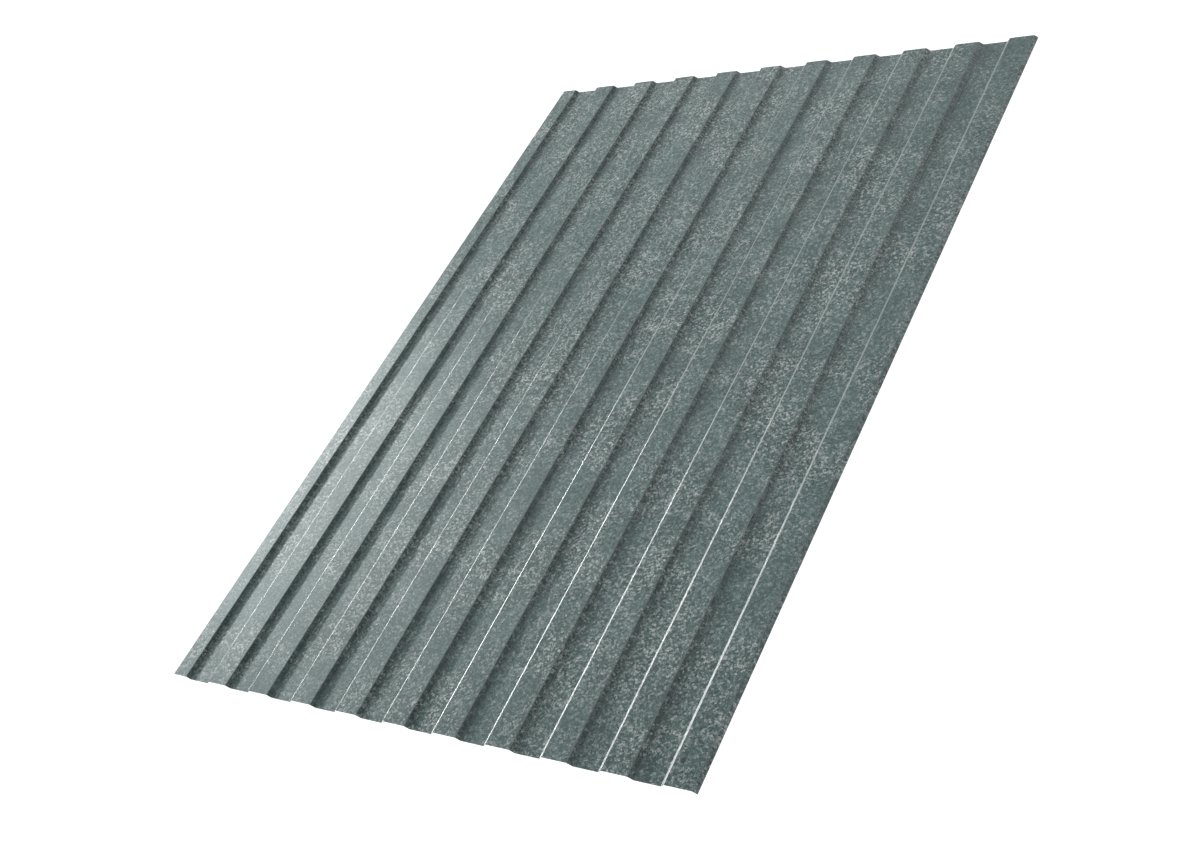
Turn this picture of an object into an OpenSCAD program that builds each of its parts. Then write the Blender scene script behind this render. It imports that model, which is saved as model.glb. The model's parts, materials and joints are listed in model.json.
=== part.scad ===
// Profiled galvanised steel sheet for roofs, walls and fences.
// It is one flat strip of metal, cold rolled into low ribs with flat crests, sloping webs and
// flat valleys between them. The left edge stops part of the way across a crest, and the right
// edge stops near the foot of a web, so that the next sheet laps over it.
// The ribs run along Y, and the undersides of the valleys lie at Z = 0.

/* [Sheet] */
// Length of the sheet along its ribs
sheet_l = 1680; // [600:10:3000]
// Thickness of the metal with its zinc coat
metal_t = 0.5; // [0.4:0.05:1]

/* [Ribs] */
// Distance from one rib to the next
pitch = 115; // [90:1:160]
// Number of whole ribs beside the part one at the left edge
ribs = 10; // [3:1:14]
// Height over all, metal included
profile_h = 8; // [6:0.5:15]
// Flat crest of a rib, from bend to bend
crest_w = 50; // [30:1:60]
// Width that each sloping web takes up
web_run = 7.5; // [5:0.5:12]
// Radius of the bends at the middle of the metal
bend_r = 2; // [1.5:0.25:3]

/* [Side edges] */
// Part crest that is left along the left edge
lap_crest_w = 36.5; // [15:0.5:50]
// Height that the cut in the last web leaves above the valleys
edge_lift = 1; // [0:0.25:3]

/* [Hidden] */
ZINC = [0.46, 0.53, 0.52];
// Straight strokes that stand for the arc of one bend
BEND_STEPS = 6;
// Rise of the middle of the metal from a valley to a crest
rise = profile_h - metal_t;
// Slope of a web
web_angle = atan2(rise, web_run);
// Width of what is left of the last web
last_web_run = web_run * (1 - edge_lift / rise);
// Width over all: the cut in the last web is square to it, so its upper corner stands furthest out
sheet_w = lap_crest_w + ribs * pitch + last_web_run + metal_t / 2 * sin(web_angle);

// Direction from a to b
function heading(a, b) = atan2(b[1] - a[1], b[0] - a[0]);

// Unit vector square to a direction, on its left
function left_of(angle) = [-sin(angle), cos(angle)];

// Corners of the middle of the metal, as it would be folded with sharp bends
function one_rib(x) = [
    [x, rise],
    [x + web_run, 0],
    [x + pitch - crest_w - web_run, 0],
    [x + pitch - crest_w, rise]
];
function fold_line() = concat(
    [[0, rise]],
    [for (i = [0:ribs - 1]) each one_rib(lap_crest_w + i * pitch)],
    [[lap_crest_w + ribs * pitch, rise]],
    [[lap_crest_w + ribs * pitch + last_web_run, edge_lift]]
);

// Arc that one face of the metal makes round one bend. side is 1 for the upper face, -1 for the lower one
function bend(before, corner, after, side) =
    let (
        start = heading(before, corner),
        turn = heading(corner, after) - start,
        way = sign(turn),
        setback = bend_r * tan(abs(turn) / 2),
        tangent = corner - setback * [cos(start), sin(start)],
        centre = tangent + way * bend_r * left_of(start),
        face_r = bend_r - way * side * metal_t / 2
    )
    [for (k = [0:BEND_STEPS]) centre - way * face_r * left_of(start + turn * k / BEND_STEPS)];

// One face of the metal from the left edge to the right edge
function face(line, side) =
    let (last = len(line) - 1, offset = side * metal_t / 2)
    concat(
        [line[0] + offset * left_of(heading(line[0], line[1]))],
        [for (i = [1:last - 1]) each bend(line[i - 1], line[i], line[i + 1], side)],
        [line[last] + offset * left_of(heading(line[last - 1], line[last]))]
    );

function reversed(points) = [for (i = [len(points) - 1:-1:0]) points[i]];

// Cross-section of the rolled metal, from the left edge at X = 0
module profile() {
    line = fold_line();
    polygon(concat(face(line, -1), reversed(face(line, 1))));
}

// The sheet, with the middle of its underside at the origin
module profiled_sheet() {
    color(ZINC)
    translate([-sheet_w / 2, 0, metal_t / 2])
    rotate([90, 0, 0])
    linear_extrude(height = sheet_l, center = true)
    profile();
}

profiled_sheet();
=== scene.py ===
"""Looks of a galvanised profiled steel sheet, built round its packed construction model.

The sheet is one strip of metal, rolled into flat-topped ribs. Geometry Nodes fold the strip from
its section sizes, and two finishes dress it: spangled zinc on both faces, and sheared steel round
the edges. All lengths are in metres, in the frame of the construction model.
"""

import json
import logging
import math
from dataclasses import dataclass
from enum import Enum
from typing import Any

import bpy
from mathutils import Matrix, Vector


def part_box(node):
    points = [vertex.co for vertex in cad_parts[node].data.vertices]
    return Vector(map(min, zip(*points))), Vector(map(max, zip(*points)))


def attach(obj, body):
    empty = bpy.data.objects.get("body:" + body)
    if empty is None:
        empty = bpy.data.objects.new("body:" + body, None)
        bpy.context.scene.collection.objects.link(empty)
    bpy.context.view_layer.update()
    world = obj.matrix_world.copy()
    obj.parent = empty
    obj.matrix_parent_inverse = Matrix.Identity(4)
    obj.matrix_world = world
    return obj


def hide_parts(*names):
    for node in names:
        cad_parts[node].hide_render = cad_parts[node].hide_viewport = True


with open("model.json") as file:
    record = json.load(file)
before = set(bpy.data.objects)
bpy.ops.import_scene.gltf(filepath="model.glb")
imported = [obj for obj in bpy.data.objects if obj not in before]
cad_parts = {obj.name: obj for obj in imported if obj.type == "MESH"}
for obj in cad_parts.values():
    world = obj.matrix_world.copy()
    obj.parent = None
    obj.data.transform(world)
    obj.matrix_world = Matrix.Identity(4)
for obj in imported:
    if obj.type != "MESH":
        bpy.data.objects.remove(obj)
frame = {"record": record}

log = logging.getLogger("profiled_sheet")

NODE = "profiled_sheet"

# Most of a noise's values lie in the wide span, and the middle span clips its crests and hollows.
WIDE_SPAN = (0.3, 0.7)
MIDDLE_SPAN = (0.38, 0.62)

Colour = tuple[float, float, float]
Value = Any  # a number, a colour or vector tuple, a socket, or a Sock


class Sock:
    """A node socket that Python expressions can work with. Each operator adds a Math node."""

    def __init__(self, maker: "NodeMaker", socket: bpy.types.NodeSocket) -> None:
        """Hold the socket and the maker whose tree it is in."""
        self.maker = maker
        self.socket = socket

    def _math(self, operation: str, *values: Value) -> "Sock":
        """Add a Math node.

        Args:
            operation: Name of the Math node's operation.
            values: Its inputs in order.

        Returns:
            The node's value.
        """
        return self.maker.math(operation, *values)

    def __add__(self, other: Value) -> "Sock":
        """self + other."""
        return self._math("ADD", self, other)

    def __radd__(self, other: Value) -> "Sock":
        """other + self."""
        return self._math("ADD", other, self)

    def __sub__(self, other: Value) -> "Sock":
        """self - other."""
        return self._math("SUBTRACT", self, other)

    def __rsub__(self, other: Value) -> "Sock":
        """other - self."""
        return self._math("SUBTRACT", other, self)

    def __mul__(self, other: Value) -> "Sock":
        """self * other."""
        return self._math("MULTIPLY", self, other)

    def __rmul__(self, other: Value) -> "Sock":
        """other * self."""
        return self._math("MULTIPLY", other, self)

    def __truediv__(self, other: Value) -> "Sock":
        """self / other."""
        return self._math("DIVIDE", self, other)

    def __rtruediv__(self, other: Value) -> "Sock":
        """other / self."""
        return self._math("DIVIDE", other, self)

    def __pow__(self, other: Value) -> "Sock":
        """self to the power of other."""
        return self._math("POWER", self, other)

    def __mod__(self, other: Value) -> "Sock":
        """Remainder of self / other, never below zero."""
        return self._math("FLOORED_MODULO", self, other)

    def __lt__(self, other: Value) -> "Sock":
        """1 where self is less than other, else 0."""
        return self._math("LESS_THAN", self, other)

    def __gt__(self, other: Value) -> "Sock":
        """1 where self is greater than other, else 0."""
        return self._math("GREATER_THAN", self, other)


class NodeMaker:
    """Adds nodes to one tree."""

    def __init__(self, tree: bpy.types.NodeTree) -> None:
        """Hold the tree."""
        self.tree = tree

    def node(
        self, kind: str, settings: dict[str, Any] | None = None, **inputs: Value
    ) -> bpy.types.Node:
        """Add a node, choose its settings and then fill its sockets.

        Args:
            kind: Type of the node, such as "ShaderNodeTexNoise".
            settings: Properties of the node. "stops" fills a colour ramp.
            inputs: Values or links of its input sockets, by name, or by place as _0, _1 and so on.

        Returns:
            The node.
        """
        made = self.tree.nodes.new(kind)
        for name, value in (settings or {}).items():
            if name == "stops":
                self._fill_ramp(made.color_ramp, value)
            else:
                setattr(made, name, value)
        for name, value in inputs.items():
            key = int(name[1:]) if name[0] == "_" else name.replace("__", " ")
            self.put(made.inputs[key], value)
        return made

    @staticmethod
    def _fill_ramp(ramp: bpy.types.ColorRamp, stops: list[tuple[float, tuple[float, ...]]]) -> None:
        """Give a colour ramp its stops.

        Args:
            ramp: The ramp of a new node, which holds two stops.
            stops: (place, colour) of each stop from left to right.
        """
        while len(ramp.elements) < len(stops):
            ramp.elements.new(0.5)
        for element, (place, colour) in zip(ramp.elements, stops, strict=True):
            element.position = place
            element.color = colour

    def put(self, socket: bpy.types.NodeSocket, value: Value) -> None:
        """Link a socket to a value, or set it where the value is plain.

        Args:
            socket: The input socket.
            value: What it gets.
        """
        if isinstance(value, Sock):
            self.tree.links.new(value.socket, socket)
        elif isinstance(value, bpy.types.NodeSocket):
            self.tree.links.new(value, socket)
        else:
            socket.default_value = value

    def out(self, made: bpy.types.Node, name: str | int = 0) -> Sock:
        """An output of a node, ready for expressions."""
        return Sock(self, made.outputs[name])

    def math(self, operation: str, *values: Value) -> Sock:
        """Add a Math node and give its value.

        Args:
            operation: Name of the operation.
            values: Its inputs in order.

        Returns:
            The node's value.
        """
        inputs = {f"_{i}": value for i, value in enumerate(values)}
        return self.out(self.node("ShaderNodeMath", {"operation": operation}, **inputs))

    def vector(self, operation: str, *values: Value) -> Sock:
        """The vector that a Vector Math node gives."""
        inputs = {f"_{i}": value for i, value in enumerate(values)}
        return self.out(self.node("ShaderNodeVectorMath", {"operation": operation}, **inputs))

    def measure(self, operation: str, *values: Value) -> Sock:
        """The number that a Vector Math node gives, such as a distance or a dot product."""
        inputs = {f"_{i}": value for i, value in enumerate(values)}
        return self.out(self.node("ShaderNodeVectorMath", {"operation": operation}, **inputs), "Value")

    def ranged(self, value: Value, low: float, high: float, at_low: float, at_high: float) -> Sock:
        """Stretch a value from one range to another, and hold it at the ends.

        Args:
            value: The value.
            low: Where the range starts.
            high: Where it ends.
            at_low: What a value at or before its start becomes.
            at_high: What a value at or past its end becomes.

        Returns:
            The stretched value.
        """
        made = self.node("ShaderNodeMapRange", None, _0=value, _1=low, _2=high, _3=at_low, _4=at_high)
        return self.out(made)

    def mixed(self, factor: Value, low: Value, high: Value) -> Sock:
        """Blend two colours.

        Args:
            factor: 0 for low, 1 for high.
            low: Colour as a tuple or a socket.
            high: Colour as a tuple or a socket.

        Returns:
            The blended colour.
        """
        low, high = ((*tint, 1.0) if isinstance(tint, tuple) else tint for tint in (low, high))
        made = self.node("ShaderNodeMix", {"data_type": "RGBA"}, _0=factor, _6=low, _7=high)
        return self.out(made, 2)

    def scaled(self, colour: Value, factor: Value) -> Sock:
        """A colour made darker or paler by a factor."""
        made = self.node("ShaderNodeVectorMath", {"operation": "SCALE"}, _0=colour, Scale=factor)
        return self.out(made)

    def xyz(self, x: Value, y: Value, z: Value) -> Sock:
        """A vector from its three parts."""
        return self.out(self.node("ShaderNodeCombineXYZ", None, _0=x, _1=y, _2=z))

    def parts(self, vector: Value) -> tuple[Sock, Sock, Sock]:
        """The three parts of a vector."""
        made = self.node("ShaderNodeSeparateXYZ", None, _0=vector)
        return self.out(made, 0), self.out(made, 1), self.out(made, 2)


class MaterialMaker(NodeMaker):
    """Adds nodes to a new material."""

    def __init__(self, name: str) -> None:
        """Start an empty material of that name."""
        self.made = bpy.data.materials.new(name)
        self.made.use_nodes = True
        super().__init__(self.made.node_tree)
        self.tree.nodes.clear()

    def finished(self, surface: bpy.types.Node) -> bpy.types.Material:
        """The material, with its shader joined to its output."""
        self.node("ShaderNodeOutputMaterial", None, Surface=self.out(surface))
        return self.made


class Part(Enum):
    """Where on the sheet a finish goes."""

    FACES = "faces"
    SHEARED_EDGES = "sheared edges"


@dataclass(frozen=True)
class Mark:
    """A small spot on the zinc, which fades out over the last part of its radius."""

    place: tuple[float, float, float]
    radius: float
    colour: Colour
    solid: float = 0.7

    def over(self, n: NodeMaker, colour: Sock, place: Sock, shift: float) -> Sock:
        """Lay the mark over the zinc.

        Args:
            n: Maker of the material's nodes.
            colour: The zinc's colour.
            place: Place on the sheet, frayed by noise.
            shift: How far the noise moves every place along each axis, on average.

        Returns:
            The colour with the mark on it.
        """
        gap = n.measure("DISTANCE", place, tuple(part + shift for part in self.place))
        strength = n.ranged(gap, self.radius * self.solid, self.radius, 1.0, 0.0)
        return n.mixed(strength, colour, self.colour)


@dataclass(frozen=True)
class Tint:
    """A colour of the zinc, and the tone of the flakes that have it, from 0 for dark to 1 for pale."""

    tone: float
    colour: Colour


@dataclass(frozen=True)
class Shine:
    """A shader value on dark flakes and on pale ones, and what a bend adds to it."""

    dark: float
    pale: float
    on_bend: float
    dark_tone: float = 0.2
    pale_tone: float = 0.9

    def value(self, n: NodeMaker, tone: Sock, bend: Sock) -> Sock:
        """The value over the whole surface, from the flakes' tone and the places of the bends."""
        flat = n.ranged(tone, self.dark_tone, self.pale_tone, self.dark, self.pale)
        return flat + self.on_bend * bend


@dataclass(frozen=True)
class Galvanising:
    """Hot-dip zinc: angular flakes of spangle from dark to pale, in denser and barer patches.

    The tone of each place, from 0 for dark to 1 for pale, comes from its flake, from the finer grain
    in it and from the patch it lies in, and the shares say how much each of them counts. Over larger
    areas, the cover makes the flakes stand out less where it is barest and more where it is densest.
    Some flakes are warmer than the rest, more of them in some clouds than in others, and warming is
    what they gain in red, green and blue. The rollers polished the bends, so a bend shows paler
    burnished zinc in place of most of the flakes' colour; that pale colour is partly real polish and
    partly a painted highlight, which brightens the glint lines along the bends. The web_to_bend and
    bend_to_flat values are how far up a face looks, from 0 for upright to 1 for level, where a bend
    starts and where it ends.
    """

    tints: tuple[Tint, ...] = (
        Tint(0.12, (0.041, 0.074, 0.073)),
        Tint(0.50, (0.101, 0.172, 0.170)),
        Tint(0.68, (0.203, 0.288, 0.283)),
        Tint(0.95, (0.620, 0.652, 0.630)),
    )
    # Pale colour of the bends: polished zinc, and partly a painted highlight that whitens the glints.
    burnished: Colour = (0.48, 0.48, 0.475)
    burnish: float = 0.8
    roughness: Shine = Shine(dark=0.38, pale=0.34, on_bend=-0.08)
    metallic: Shine = Shine(dark=0.10, pale=0.16, on_bend=0.40)
    sheen: float = 0.65
    flake_size: float = 0.0039
    flake_share: float = 0.6
    raggedness: float = 0.9
    grain_size: float = 0.0018
    grain_share: float = 0.4
    patch_size: float = 0.06
    patch_share: float = 0.35
    cover_size: float = 0.14
    barest: float = 0.65
    densest: float = 1.12
    cloud_size: float = 0.35
    cloud_pull: float = 0.8
    warm_from: float = 0.55
    warming: tuple[float, float, float] = (0.06, -0.01, -0.025)
    tilt: float = 0.03
    web_to_bend: tuple[float, float] = (0.72, 0.78)
    bend_to_flat: tuple[float, float] = (0.985, 0.998)
    fray: float = 0.006
    marks: tuple[Mark, ...] = ()

    def material(self) -> bpy.types.Material:
        """Build the material.

        Returns:
            The zinc finish.
        """
        n = MaterialMaker("spangled_zinc")
        strip = n.out(n.node("ShaderNodeAttribute", {"attribute_name": "strip"}), "Vector")
        wobble = self._noise(n, strip, self.flake_size, "Color")
        place = n.vector("MULTIPLY_ADD", wobble, (self.flake_size * self.raggedness,) * 3, strip)
        cells = self._cells(n, place, self.flake_size)
        chance, warmth, _ = n.parts(cells)
        grain, _, _ = n.parts(self._cells(n, place, self.grain_size))
        patch = self._noise(n, strip, self.patch_size)
        cover = n.ranged(self._noise(n, strip, self.cover_size), *MIDDLE_SPAN, self.barest, self.densest)
        spangle = self.flake_share * chance + self.grain_share * grain
        tone = 0.5 + cover * (spangle - 0.5) + self.patch_share * (patch - 0.5)
        bend = self._bend(n)
        colour = self._colour(n, strip, tone, warmth, wobble)
        surface = n.node(
            "ShaderNodeBsdfPrincipled",
            None,
            # Bends turn pale: partly polished zinc, partly a painted highlight along the bends.
            Base__Color=n.mixed(self.burnish * bend, colour, self.burnished),
            Metallic=self.metallic.value(n, tone, bend),
            Roughness=self.roughness.value(n, tone, bend),
            Specular__IOR__Level=self.sheen,
            Normal=self._tilted(n, cells, bend),
        )
        return n.finished(surface)

    @staticmethod
    def _noise(n: NodeMaker, place: Value, size: float, output: str | int = 0) -> Sock:
        """Noise whose clouds are about as wide as size."""
        made = n.node("ShaderNodeTexNoise", None, Vector=place, Scale=1 / size, Detail=2.0)
        return n.out(made, output)

    @staticmethod
    def _cells(n: NodeMaker, place: Value, size: float) -> Sock:
        """A random colour for each cell of a broken pattern, with cells about as wide as size."""
        return n.out(n.node("ShaderNodeTexVoronoi", None, Vector=place, Scale=1 / size), "Color")

    def _colour(self, n: NodeMaker, strip: Sock, tone: Sock, warmth: Sock, wobble: Sock) -> Sock:
        """Colour the flakes by their tone, warm a few of them, and lay the marks over them.

        Args:
            n: Maker of the material's nodes.
            strip: Place on the flat strip.
            tone: 0 for the darkest flake, 1 for the palest.
            warmth: A random value for each flake.
            wobble: Fine noise, which frays the edges of the marks.

        Returns:
            The colour of the zinc.
        """
        ramp = {"stops": [(tint.tone, (*tint.colour, 1.0)) for tint in self.tints]}
        plain = n.out(n.node("ShaderNodeValToRGB", ramp, _0=tone))
        cloud = self._noise(n, strip, self.cloud_size)
        warm = n.ranged(warmth + self.cloud_pull * (cloud - 0.5), self.warm_from, 1.0, 0.0, 1.0)
        changes = zip(n.parts(plain), self.warming, strict=True)
        colour = n.xyz(*(part * (1 + change * warm) for part, change in changes))
        place = n.out(n.node("ShaderNodeTexCoord"), "Object")
        frayed = n.vector("MULTIPLY_ADD", wobble, (self.fray,) * 3, place)
        for mark in self.marks:
            colour = mark.over(n, colour, frayed, self.fray / 2)
        return colour

    def _bend(self, n: NodeMaker) -> Sock:
        """Find the bends, which the rollers polished and which carry the painted glint highlight, by how
        far the face leans.

        Args:
            n: Maker of the material's nodes.

        Returns:
            1 on the bends, and 0 on flats and webs.
        """
        _, _, up = n.parts(n.out(n.node("ShaderNodeNewGeometry"), "Normal"))
        level = n.math("ABSOLUTE", up)
        off_web = n.ranged(level, *self.web_to_bend, 0.0, 1.0)
        return off_web * n.ranged(level, *self.bend_to_flat, 1.0, 0.0)

    def _tilted(self, n: NodeMaker, cells: Sock, bend: Sock) -> Sock:
        """The surface's normal, leaned a little its own way on each flake but not on the bends."""
        level = n.out(n.node("ShaderNodeNewGeometry"), "Normal")
        lean = n.vector("SUBTRACT", cells, (0.5, 0.5, 0.5))
        most = self.tilt * (1 - bend)
        return n.vector("NORMALIZE", n.vector("MULTIPLY_ADD", lean, n.xyz(most, most, most), level))


@dataclass(frozen=True)
class ShearedSteel:
    """Bare steel where the strip was cut, with the fine grain that the blade leaves."""

    colour: Colour = (0.30, 0.31, 0.31)
    score_size: float = 0.0004
    in_score: float = 0.7
    off_score: float = 1.15
    metallic: float = 0.9
    roughness: float = 0.45

    def material(self) -> bpy.types.Material:
        """Build the material.

        Returns:
            The finish of the sheared edges.
        """
        n = MaterialMaker("sheared_steel")
        place = n.out(n.node("ShaderNodeTexCoord"), "Object")
        score = n.node("ShaderNodeTexNoise", None, Vector=place, Scale=1 / self.score_size, Detail=1.0)
        tone = n.ranged(n.out(score), *WIDE_SPAN, self.in_score, self.off_score)
        surface = n.node(
            "ShaderNodeBsdfPrincipled",
            None,
            Base__Color=n.scaled(self.colour, tone),
            Metallic=self.metallic,
            Roughness=self.roughness,
        )
        return n.finished(surface)


@dataclass
class RolledSheet:
    """The whole sheet, folded from one strip. Its length, height, gauge and place come from the frame."""

    low: Vector
    high: Vector
    gauge: float
    part_crest: float
    pitch: float = 0.115
    crest: float = 0.050
    web_run: float = 0.0075
    bend_radius: float = 0.002
    edge_lift: float = 0.001
    bend_points: int = 8
    lengthwise_parts: int = 28
    weld_gap: float = 1e-6
    crease: float = math.radians(40)

    @classmethod
    def from_frame(cls) -> "RolledSheet":
        """Read what the frame tells of the sheet.

        Returns:
            The sheet, with its own section sizes where the frame has none.
        """
        low, high = (Vector(corner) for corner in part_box(NODE))
        mounts = {mount["name"]: mount["pos_m"] for mount in frame["record"]["mounts"]}
        part_crest = 2 * (mounts["lap_crest"][0] - low.x)
        return cls(low, high, gauge=mounts["screw_seat"][2], part_crest=part_crest)

    @property
    def rise(self) -> float:
        """Height from the middle of the metal in a valley to its middle in a crest."""
        return self.high.z - self.low.z - self.gauge

    @property
    def last_web_run(self) -> float:
        """Width of the web that ends the sheet, which is cut before its foot."""
        return self.web_run * (1 - self.edge_lift / self.rise)

    @property
    def ribs(self) -> int:
        """Number of whole ribs."""
        return round((self.high.x - self.low.x - self.part_crest - self.last_web_run) / self.pitch)

    def on_crest(self, from_left: float, from_near: float) -> tuple[float, float, float]:
        """A place on top of the crests, by its distance from the left and the near edge."""
        return self.low.x + from_left, self.low.y + from_near, self.high.z

    def sizes(self) -> dict[str, float | int]:
        """The values that the folding tree takes, by the names of its inputs."""
        return {
            "Ribs": self.ribs,
            "Length": self.high.y - self.low.y,
            "Pitch": self.pitch,
            "Crest": self.crest,
            "Web Run": self.web_run,
            "Rise": self.rise,
            "Gauge": self.gauge,
            "Part Crest": self.part_crest,
            "Last Web Run": self.last_web_run,
            "Edge Lift": self.edge_lift,
            "Bend Radius": self.bend_radius,
            "Bend Points": self.bend_points,
            "Lengthwise Parts": self.lengthwise_parts,
        }

    def folding_tree(self) -> bpy.types.NodeTree:
        """Build the Geometry Nodes tree that folds the strip.

        Returns:
            The tree. Its inputs are the names in sizes() and the two materials.
        """
        tree = bpy.data.node_groups.new("fold_strip", "GeometryNodeTree")
        tree.interface.new_socket("Geometry", in_out="INPUT", socket_type="NodeSocketGeometry")
        for name, value in self.sizes().items():
            kind = "NodeSocketInt" if isinstance(value, int) else "NodeSocketFloat"
            tree.interface.new_socket(name, in_out="INPUT", socket_type=kind)
        for name in ("Zinc", "Sheared Steel"):
            tree.interface.new_socket(name, in_out="INPUT", socket_type="NodeSocketMaterial")
        tree.interface.new_socket("Geometry", in_out="OUTPUT", socket_type="NodeSocketGeometry")
        n = NodeMaker(tree)
        given = n.node("NodeGroupInput")
        size = {socket.name: n.out(given, socket.name) for socket in given.outputs if socket.name}
        fold = self._fold_curve(n, size)
        counted = n.node("GeometryNodeAttributeDomainSize", {"component": "CURVE"}, _0=fold)
        points = n.out(counted, "Point Count")
        shell = self._shell(n, size, fold, points)
        ends = [self._end(n, size, fold, points, way) for way in (-1, 1)]
        joined = n.node("GeometryNodeJoinGeometry")
        for piece in (shell, *ends):
            n.put(joined.inputs[0], piece)
        welded = n.node(
            "GeometryNodeMergeByDistance", None, Geometry=n.out(joined), Distance=self.weld_gap
        )
        smooth = n.node(
            "GeometryNodeSetShadeSmooth", {"domain": "FACE"}, Geometry=n.out(welded), Shade__Smooth=True
        )
        angle = n.out(n.node("GeometryNodeInputMeshEdgeAngle"), "Unsigned Angle")
        creased = n.node(
            "GeometryNodeSetShadeSmooth",
            {"domain": "EDGE"},
            Geometry=n.out(smooth),
            Selection=angle > self.crease,
            Shade__Smooth=False,
        )
        real = n.node("GeometryNodeRealizeInstances", None, Geometry=n.out(creased))
        zinc = n.node("GeometryNodeSetMaterial", None, Geometry=n.out(real), Material=size["Zinc"])
        strip = n.node("GeometryNodeInputNamedAttribute", {"data_type": "FLOAT_VECTOR"}, Name="strip")
        _, _, side = n.parts(n.out(strip))
        cut = n.node(
            "GeometryNodeSetMaterial",
            None,
            Geometry=n.out(zinc),
            Selection=n.math("ABSOLUTE", side) < 0.5,
            Material=size["Sheared Steel"],
        )
        n.node("NodeGroupOutput", None, Geometry=n.out(cut))
        return tree

    @staticmethod
    def _fold_curve(n: NodeMaker, size: dict[str, Sock]) -> Sock:
        """Lay the middle of the metal across the sheet, from its left edge at X = 0, with round bends.

        Args:
            n: Maker of the tree's nodes.
            size: The tree's inputs.

        Returns:
            The curve, in the XZ plane.
        """
        # The left edge, four corners for each valley and rib, and the two ends of the last web.
        index = n.out(n.node("GeometryNodeInputIndex"))
        count = size["Ribs"] * 4 + 3
        step = n.math("MAXIMUM", index - 1, 0)
        corner = step % 4
        rib_start = size["Part Crest"] + n.math("FLOOR", step / 4) * size["Pitch"]
        valley_end = size["Pitch"] - size["Crest"] - size["Web Run"]
        across = n.node("GeometryNodeIndexSwitch", {"data_type": "FLOAT"}, Index=corner)
        across.index_switch_items.new()
        across.index_switch_items.new()
        corners = (0.0, size["Web Run"], valley_end, valley_end + size["Web Run"])
        for place, value in enumerate(corners, start=1):
            n.put(across.inputs[place], value)
        on_crest = n.math("MAXIMUM", corner < 0.5, corner > 2.5)
        x = rib_start + n.out(across)
        z = on_crest * size["Rise"]
        last = index > count - 1.5
        x = x - last * (size["Web Run"] - size["Last Web Run"])
        z = z + last * size["Edge Lift"]
        first = index < 0.5
        x = x * (1 - first)
        line = n.node("GeometryNodeCurvePrimitiveLine")
        dots = n.node("GeometryNodeResampleCurve", None, Curve=n.out(line), Count=count)
        folded = n.node("GeometryNodeSetPosition", None, Geometry=n.out(dots), Position=n.xyz(x, 0.0, z))
        bent = n.node(
            "GeometryNodeFilletCurve",
            {"mode": "POLY"},
            Curve=n.out(folded),
            Radius=size["Bend Radius"],
            Count=size["Bend Points"],
        )
        return n.out(bent)

    @staticmethod
    def _on_fold(
        n: NodeMaker, size: dict[str, Sock], fold: Sock, place: Sock, side: Sock, along: Value
    ) -> tuple[Sock, Sock]:
        """Find the point of the metal that belongs to a grid's vertex.

        Args:
            n: Maker of the tree's nodes.
            size: The tree's inputs.
            fold: The curve at the middle of the metal.
            place: Which of the curve's points.
            side: 1 for the upper face, -1 for the lower one.
            along: Place along the sheet, from -0.5 to 0.5.

        Returns:
            The point in space, and its place on the flat strip: across, along and side.
        """
        def at(kind: str, value: Sock) -> Sock:
            """Read a value at one point of the curve."""
            kinds = {"data_type": kind, "domain": "POINT"}
            return n.out(n.node("GeometryNodeSampleIndex", kinds, Geometry=fold, Value=value, Index=place))

        x, _, z = n.parts(at("FLOAT_VECTOR", n.out(n.node("GeometryNodeInputPosition"))))
        way_x, _, way_z = n.parts(at("FLOAT_VECTOR", n.out(n.node("GeometryNodeInputTangent"))))
        across = at("FLOAT", n.out(n.node("GeometryNodeSplineParameter"), "Length"))
        off = side * size["Gauge"] * 0.5
        y = along * size["Length"]
        return n.xyz(x - off * way_z, y, z + off * way_x), n.xyz(across, y, side)

    def _placed(self, n: NodeMaker, grid: bpy.types.Node, point: Sock, strip: Sock) -> Sock:
        """Move a grid's vertices to the metal and note their place on the strip.

        Args:
            n: Maker of the tree's nodes.
            grid: The grid.
            point: Where each vertex goes.
            strip: Its place on the flat strip.

        Returns:
            The moved grid.
        """
        settings = {"data_type": "FLOAT_VECTOR", "domain": "POINT"}
        noted = n.node(
            "GeometryNodeStoreNamedAttribute", settings, Geometry=n.out(grid), Name="strip", Value=strip
        )
        return n.out(n.node("GeometryNodeSetPosition", None, Geometry=n.out(noted), Position=point))

    def _shell(self, n: NodeMaker, size: dict[str, Sock], fold: Sock, points: Sock) -> Sock:
        """Wrap a grid round the metal: the lower face, the right edge, the upper face and the left edge.

        Args:
            n: Maker of the tree's nodes.
            size: The tree's inputs.
            fold: The curve at the middle of the metal.
            points: How many points it has.

        Returns:
            The shell, open at the sheet's two ends.
        """
        columns = points * 2 + 1
        rows = size["Lengthwise Parts"] + 1
        grid = n.node("GeometryNodeMeshGrid", None, Vertices__X=columns, Vertices__Y=rows)
        index = n.out(n.node("GeometryNodeInputIndex"))
        column = n.math("FLOOR", (index + 0.5) / rows)
        row = index - column * rows
        around = column % (points * 2)
        place = n.math("MINIMUM", around, points * 2 - 1 - around)
        side = (around > points - 0.5) * 2 - 1
        point, strip = self._on_fold(n, size, fold, place, side, row / (rows - 1) - 0.5)
        moved = self._placed(n, grid, point, strip)
        return n.out(n.node("GeometryNodeFlipFaces", None, Mesh=moved))

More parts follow.
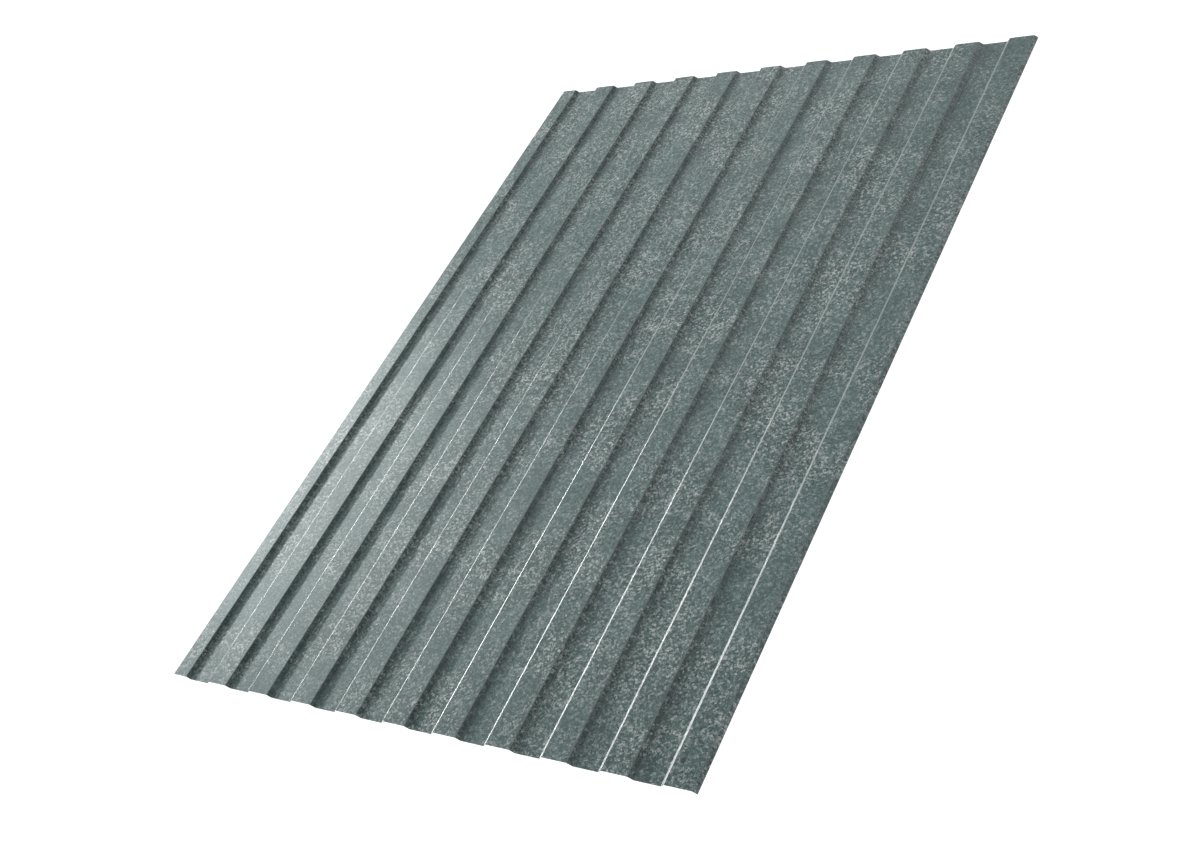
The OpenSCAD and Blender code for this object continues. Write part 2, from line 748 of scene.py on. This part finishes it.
    def _end(self, n: NodeMaker, size: dict[str, Sock], fold: Sock, points: Sock, way: int) -> Sock:
        """Close one end of the shell with a strip as tall as the metal is thick.

        Args:
            n: Maker of the tree's nodes.
            size: The tree's inputs.
            fold: The curve at the middle of the metal.
            points: How many points it has.
            way: 1 for the far end, -1 for the near one.

        Returns:
            The end.
        """
        grid = n.node("GeometryNodeMeshGrid", None, Vertices__X=points, Vertices__Y=2)
        index = n.out(n.node("GeometryNodeInputIndex"))
        column = n.math("FLOOR", (index + 0.5) / 2)
        side = (index - column * 2) * 2 - 1
        point, strip = self._on_fold(n, size, fold, column, side, way * 0.5)
        moved = self._placed(n, grid, point, strip)
        if way > 0:
            return n.out(n.node("GeometryNodeFlipFaces", None, Mesh=moved))
        return moved

    def build(self, finishes: dict[Part, bpy.types.Material]) -> bpy.types.Object:
        """Fold the strip and keep the result as a plain mesh.

        Args:
            finishes: The material of each part of the surface.

        Returns:
            The sheet's object, at the origin.
        """
        tree = self.folding_tree()
        work = bpy.data.objects.new("strip_work", bpy.data.meshes.new("strip_work"))
        bpy.context.scene.collection.objects.link(work)
        fold = work.modifiers.new("fold", "NODES")
        fold.node_group = tree
        given = {
            **self.sizes(),
            "Zinc": finishes[Part.FACES],
            "Sheared Steel": finishes[Part.SHEARED_EDGES],
        }
        for item in tree.interface.items_tree:
            if item.name in given:
                fold[item.identifier] = given[item.name]
        even = work.modifiers.new("even", "WEIGHTED_NORMAL")
        even.keep_sharp = True
        graph = bpy.context.evaluated_depsgraph_get()
        mesh = bpy.data.meshes.new_from_object(
            work.evaluated_get(graph), preserve_all_data_layers=True, depsgraph=graph
        )
        bpy.data.objects.remove(work)
        mesh.name = "zinc_sheet"
        middle = (self.low.y + self.high.y) / 2
        mesh.transform(Matrix.Translation((self.low.x, middle, self.low.z + self.gauge / 2)))
        made = bpy.data.objects.new("zinc_sheet", mesh)
        bpy.context.scene.collection.objects.link(made)
        return made


@dataclass(frozen=True)
class Glow:
    """A far, soft light: the way it stands in, in degrees, how bright it is and how tight."""

    azimuth: float
    elevation: float
    strength: float
    tightness: float

    @property
    def way(self) -> tuple[float, float, float]:
        """Direction towards the light, with azimuth counted from +X to +Y."""
        azimuth, elevation = math.radians(self.azimuth), math.radians(self.elevation)
        level = math.cos(elevation)
        return math.cos(azimuth) * level, math.sin(azimuth) * level, math.sin(elevation)


@dataclass(frozen=True)
class Studio:
    """Pale glowing floor under far soft lights and a pale horizon, with one long lamp on the left."""

    floor_reach: float = 400.0
    floor_drop: float = 0.0002
    floor_colour: Colour = (0.3, 0.3, 0.3)
    floor_mottle: float = 0.01
    floor_roughness: float = 0.9
    floor_glow: float = 1.0
    key: Glow = Glow(azimuth=240, elevation=25, strength=28.6, tightness=60)
    left_sheen: Glow = Glow(azimuth=160, elevation=14, strength=5.8, tightness=50)
    far_sheen: Glow = Glow(azimuth=124, elevation=18, strength=2.0, tightness=60)
    high_sheen: Glow = Glow(azimuth=134, elevation=42, strength=1.25, tightness=40)
    fill: Glow = Glow(azimuth=45, elevation=12, strength=1.6, tightness=8)
    horizon_glow: float = 1.0
    horizon_height: float = 0.4
    horizon_fade: float = 2.0
    lamp_place: tuple[float, float, float] = (-2.6, 0.6, 0.72)
    lamp_length: float = 1.6
    lamp_width: float = 0.1
    lamp_power: float = 40.0

    def build(self) -> None:
        """Make the floor and the lights."""
        self._floor()
        self._sky()
        self._lamp()
        bpy.context.scene.view_settings.view_transform = "Standard"

    def _floor(self) -> None:
        """Lay the floor a hair under the sheet."""
        reach = self.floor_reach
        corners = [(-reach, -reach), (reach, -reach), (reach, reach), (-reach, reach)]
        mesh = bpy.data.meshes.new("floor")
        mesh.from_pydata([(x, y, -self.floor_drop) for x, y in corners], [], [(0, 1, 2, 3)])
        n = MaterialMaker("pale_floor")
        place = n.out(n.node("ShaderNodeTexCoord"), "Object")
        grain = n.out(n.node("ShaderNodeTexNoise", None, Vector=place, Scale=3.0, Detail=3.0))
        tone = n.ranged(grain, *WIDE_SPAN, 1.0 - self.floor_mottle, 1.0)
        surface = n.node(
            "ShaderNodeBsdfPrincipled",
            None,
            Base__Color=n.scaled(self.floor_colour, tone),
            Roughness=self.floor_roughness,
            Emission__Color=(1.0, 1.0, 1.0, 1.0),
            Emission__Strength=self.floor_glow,
        )
        mesh.materials.append(n.finished(surface))
        floor = bpy.data.objects.new("floor", mesh)
        bpy.context.scene.collection.objects.link(floor)

    def _sky(self) -> None:
        """Surround the scene with the pale horizon and the far lights."""
        world = bpy.data.worlds.new("studio")
        bpy.context.scene.world = world
        world.use_nodes = True
        world.node_tree.nodes.clear()
        n = NodeMaker(world.node_tree)
        way = n.out(n.node("ShaderNodeTexCoord"), "Generated")
        _, _, height = n.parts(way)
        level = n.math("ABSOLUTE", height)
        horizon = n.ranged(level, 0.0, self.horizon_height, self.horizon_glow, 0.0)
        strength = horizon**self.horizon_fade
        for glow in (self.left_sheen, self.far_sheen, self.key, self.fill, self.high_sheen):
            facing = n.math("MAXIMUM", n.measure("DOT_PRODUCT", way, glow.way), 0.0)
            strength = strength + glow.strength * facing**glow.tightness
        light = n.node("ShaderNodeBackground", None, Color=(1.0, 1.0, 1.0, 1.0), Strength=strength)
        n.node("ShaderNodeOutputWorld", None, Surface=n.out(light))

    def _lamp(self) -> None:
        """Stand the long lamp off the left edge, along the sheet and facing it."""
        lamp = bpy.data.lights.new("lamp", "AREA")
        lamp.shape = "RECTANGLE"
        lamp.size = self.lamp_length
        lamp.size_y = self.lamp_width
        lamp.energy = self.lamp_power
        made = bpy.data.objects.new("lamp", lamp)
        place = Vector(self.lamp_place)
        back = Vector((place.x, 0.0, place.z)).normalized()
        along = Vector((0.0, 1.0, 0.0))
        facing = Matrix((along, back.cross(along), back)).transposed().to_4x4()
        made.matrix_world = Matrix.Translation(place) @ facing
        bpy.context.scene.collection.objects.link(made)


@dataclass
class Viewpoint:
    """Where the camera stands: beyond the near right corner, looking down on the sheet, rolled over."""

    aim: tuple[float, float, float] = (0.0592, -0.1736, 0.0)
    distance: float = 2.8457
    azimuth: float = 51.368
    elevation: float = 37.769
    roll: float = 34.603
    lens: float = 46.46
    sensor: float = 36.0

    def build(self) -> None:
        """Set the camera up as the scene's own."""
        data = bpy.data.cameras.new("camera")
        data.lens = self.lens
        data.sensor_width = self.sensor
        data.sensor_fit = "HORIZONTAL"
        camera = bpy.data.objects.new("camera", data)
        azimuth, elevation = math.radians(self.azimuth), math.radians(self.elevation)
        back = Vector(
            (
                math.sin(azimuth) * math.cos(elevation),
                -math.cos(azimuth) * math.cos(elevation),
                math.sin(elevation),
            )
        )
        level = Vector((0, 0, 1)).cross(back).normalized()
        turn = Matrix.Rotation(-math.radians(self.roll), 3, back)
        right = turn @ level
        up = back.cross(right)
        facing = Matrix((right, up, back)).transposed().to_4x4()
        camera.matrix_world = Matrix.Translation(Vector(self.aim) + back * self.distance) @ facing
        bpy.context.scene.collection.objects.link(camera)
        bpy.context.scene.camera = camera


def main() -> None:
    """Build the sheet, its studio and its viewpoint, and log how many ribs and faces the sheet has."""
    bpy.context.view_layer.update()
    design = RolledSheet.from_frame()
    marks = (
        Mark(
            place=design.on_crest(from_left=0.2471, from_near=1.4213),
            radius=0.0028,
            colour=(0.30, 0.20, 0.14),
        ),
        Mark(
            place=design.on_crest(from_left=1.1512, from_near=0.0432),
            radius=0.0048,
            colour=(0.052, 0.055, 0.057),
        ),
    )
    finishes = {
        Part.FACES: Galvanising(marks=marks).material(),
        Part.SHEARED_EDGES: ShearedSteel().material(),
    }
    sheet = design.build(finishes)
    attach(sheet, "root")
    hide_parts(NODE)
    log.info("%s: %d ribs, %d faces", sheet.name, design.ribs, len(sheet.data.polygons))
    Studio().build()
    Viewpoint().build()


if __name__ == "__main__":
    logging.basicConfig(level=logging.INFO)
    main()
